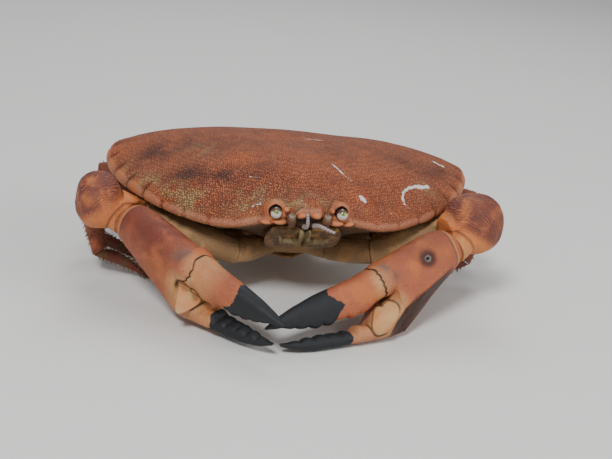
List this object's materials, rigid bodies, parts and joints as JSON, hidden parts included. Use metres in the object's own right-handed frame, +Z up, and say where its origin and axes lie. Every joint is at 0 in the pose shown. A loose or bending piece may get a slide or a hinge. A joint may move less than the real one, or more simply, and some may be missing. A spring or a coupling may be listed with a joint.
{
  "type": "brown crab",
  "caption": "Life-size brown crab at rest: an oval domed shell with a piecrust edge, folded walking legs and two heavy black-tipped claws held in front; still figure.",
  "frame": {"origin": "centre of the box of the crab's footprint, at the level of the ground", "axes": "+X to the crab's left, which is its greatest width, -Y to its front, +Z up"},
  "size_m": [0.1884, 0.1614, 0.0649],
  "materials": {
    "shell": "pinkish brown to orange-red, finely granular, half matt",
    "underside": "cream to pale yellow, smooth, slightly glossy",
    "mouthparts": "cream and orange-brown with yellowish bristles",
    "eye": "silvery white with a green spot and a dark rim, glossy",
    "stalk": "salmon, smooth",
    "feeler": "dark reddish brown, banded with pale grey",
    "joint_cream": "cream, smooth",
    "limb": "orange to cream with a purplish brown top",
    "claw": "pink-orange, finely granular, satin",
    "claw_finger": "cream root, orange middle, black matt to satin end",
    "leg": "reddish brown with short bristles",
    "leg_tip": "dark brown, bristly, with a black point"
  },
  "bodies": {
    "root": {"carapace": "shell", "thorax": "underside", "abdomen": "underside", "maxilliped_left": "mouthparts", "eye_left": "eye", "eyestalk_left": "stalk", "antenna_left": "feeler", "antennule_left": "feeler", "maxilliped_right": "mouthparts", "eye_right": "eye", "eyestalk_right": "stalk", "antenna_right": "feeler", "antennule_right": "feeler", "claw_left_ischium": "joint_cream", "claw_left_merus": "limb", "claw_left_carpus": "limb", "claw_left_propodus": "claw", "claw_left_dactyl": "claw_finger", "claw_right_ischium": "joint_cream", "claw_right_merus": "limb", "claw_right_carpus": "limb", "claw_right_propodus": "claw", "claw_right_dactyl": "claw_finger", "leg_left_1_merus": "leg", "leg_left_1_carpus": "leg", "leg_left_1_propodus": "leg", "leg_left_1_dactyl": "leg_tip", "leg_left_2_merus": "leg", "leg_left_2_carpus": "leg", "leg_left_2_propodus": "leg", "leg_left_2_dactyl": "leg_tip", "leg_left_3_merus": "leg", "leg_left_3_carpus": "leg", "leg_left_3_propodus": "leg", "leg_left_3_dactyl": "leg_tip", "leg_left_4_merus": "leg", "leg_left_4_carpus": "leg", "leg_left_4_propodus": "leg", "leg_left_4_dactyl": "leg_tip", "leg_right_1_merus": "leg", "leg_right_1_carpus": "leg", "leg_right_1_propodus": "leg", "leg_right_1_dactyl": "leg_tip", "leg_right_2_merus": "leg", "leg_right_2_carpus": "leg", "leg_right_2_propodus": "leg", "leg_right_2_dactyl": "leg_tip", "leg_right_3_merus": "leg", "leg_right_3_carpus": "leg", "leg_right_3_propodus": "leg", "leg_right_3_dactyl": "leg_tip", "leg_right_4_merus": "leg", "leg_right_4_carpus": "leg", "leg_right_4_propodus": "leg", "leg_right_4_dactyl": "leg_tip"}
  },
  "joints": []
}
